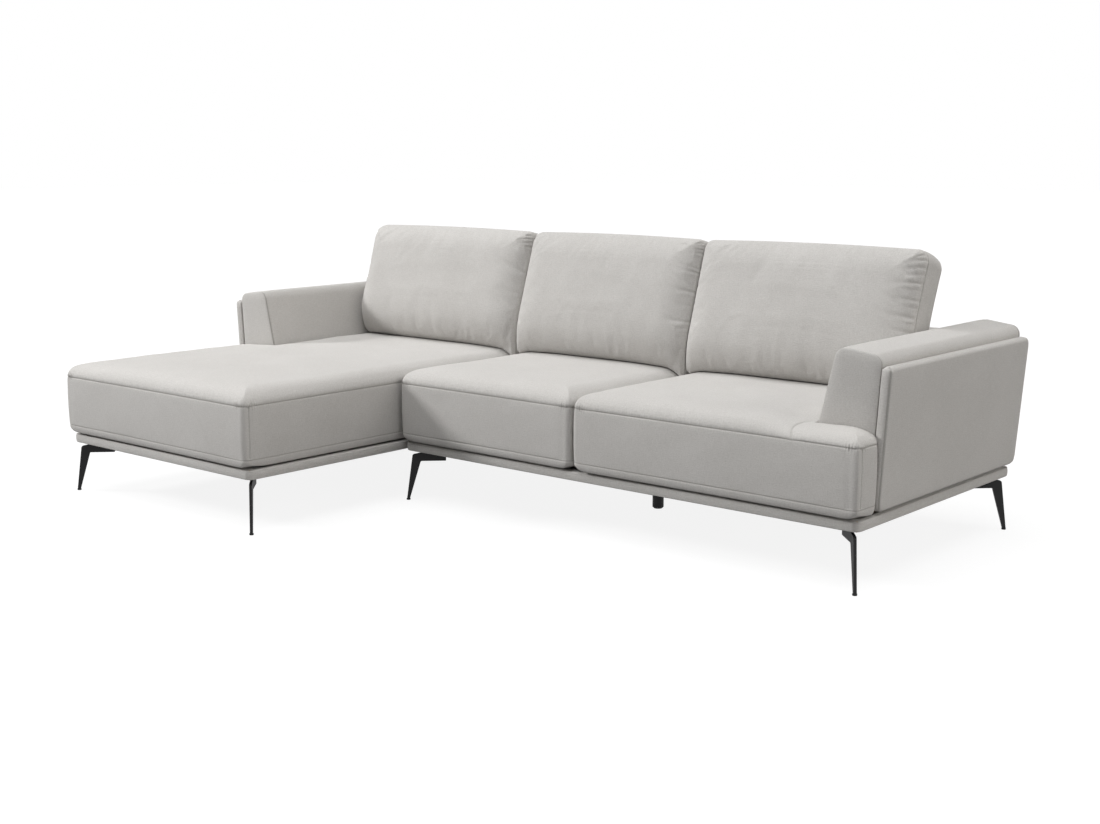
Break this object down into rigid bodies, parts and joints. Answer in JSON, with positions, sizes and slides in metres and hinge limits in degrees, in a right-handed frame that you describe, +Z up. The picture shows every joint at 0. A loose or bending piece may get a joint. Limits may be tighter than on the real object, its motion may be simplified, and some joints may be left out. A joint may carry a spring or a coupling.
{
  "type": "corner sofa",
  "caption": "Corner sofa in pale grey cloth: a two-seat unit and a left chaise hook together, with boxed back cushions, slim arms with outer wing panels and bent black metal legs.",
  "frame": {"origin": "on the floor, at the centre of the sofa's footprint box", "axes": "+X towards the right end as seen from the front, +Y towards the back, +Z up"},
  "size_m": [2.81, 1.6632, 0.8963],
  "materials": {
    "cloth": "woven upholstery cloth, pale warm grey",
    "timber": "planed, unfinished",
    "steel": "zinc plated",
    "leg_metal": "matte black powder coat",
    "black_plastic": "moulded",
    "dust_cover": "thin spunbond cloth",
    "felt": "pressed felt"
  },
  "bodies": {
    "two_seater": {"pair_front_rail": "timber", "pair_back_rail": "timber", "pair_left_rail": "timber", "pair_right_rail": "timber", "pair_inner_rail": "timber", "pair_corner_blocks": "timber", "pair_plinth_front": "cloth", "pair_plinth_back": "cloth", "pair_plinth_left": "cloth", "pair_plinth_right": "cloth", "pair_dust_cover": "dust_cover", "pair_springs": "steel", "pair_felt": "felt", "seat_block_middle": "cloth", "seat_block_right": "cloth", "pair_leg_front_left": "leg_metal", "pair_leg_front_right": "leg_metal", "pair_leg_back_left": "leg_metal", "pair_leg_back_right": "leg_metal", "pair_glides": "black_plastic", "pair_leg_screws": "steel", "pair_back_frame": "timber", "pair_back_panel": "cloth", "right_arm_frame": "timber", "right_arm_pad": "cloth", "right_wing_panel": "cloth", "pair_hooks": "steel", "support_leg": "leg_metal"},
    "chaise": {"chaise_front_rail": "timber", "chaise_back_rail": "timber", "chaise_left_rail": "timber", "chaise_right_rail": "timber", "chaise_inner_rail": "timber", "chaise_corner_blocks": "timber", "chaise_plinth_front": "cloth", "chaise_plinth_back": "cloth", "chaise_plinth_left": "cloth", "chaise_plinth_right": "cloth", "chaise_dust_cover": "dust_cover", "chaise_springs": "steel", "chaise_felt": "felt", "seat_block_chaise": "cloth", "chaise_leg_front_left": "leg_metal", "chaise_leg_front_right": "leg_metal", "chaise_leg_back_left": "leg_metal", "chaise_leg_back_right": "leg_metal", "chaise_glides": "black_plastic", "chaise_leg_screws": "steel", "chaise_back_frame": "timber", "chaise_back_panel": "cloth", "left_arm_frame": "timber", "left_arm_pad": "cloth", "left_wing_panel": "cloth", "chaise_hooks": "steel"},
    "middle_cushion": {"back_cushion_middle": "cloth"},
    "right_cushion": {"back_cushion_right": "cloth"},
    "left_cushion": {"back_cushion_left": "cloth"},
    "screw_foot": {"support_foot": "black_plastic"}
  },
  "joints": [
    {"name": "chaise_lift", "type": "slide", "parent": "two_seater", "child": "chaise", "axis": [0, 0, 1], "range_m": [0, 0.05]},
    {"name": "middle_cushion_lift", "type": "slide", "parent": "two_seater", "child": "middle_cushion", "axis": [0, 0.3256, 0.9455], "range_m": [0, 0.3]},
    {"name": "right_cushion_lift", "type": "slide", "parent": "two_seater", "child": "right_cushion", "axis": [0, 0.3256, 0.9455], "range_m": [0, 0.3]},
    {"name": "left_cushion_lift", "type": "slide", "parent": "chaise", "child": "left_cushion", "axis": [0, 0.3256, 0.9455], "range_m": [0, 0.3]},
    {"name": "screw_foot_travel", "type": "slide", "parent": "two_seater", "child": "screw_foot", "axis": [0, 0, 1], "range_m": [-0.012, 0]}
  ]
}
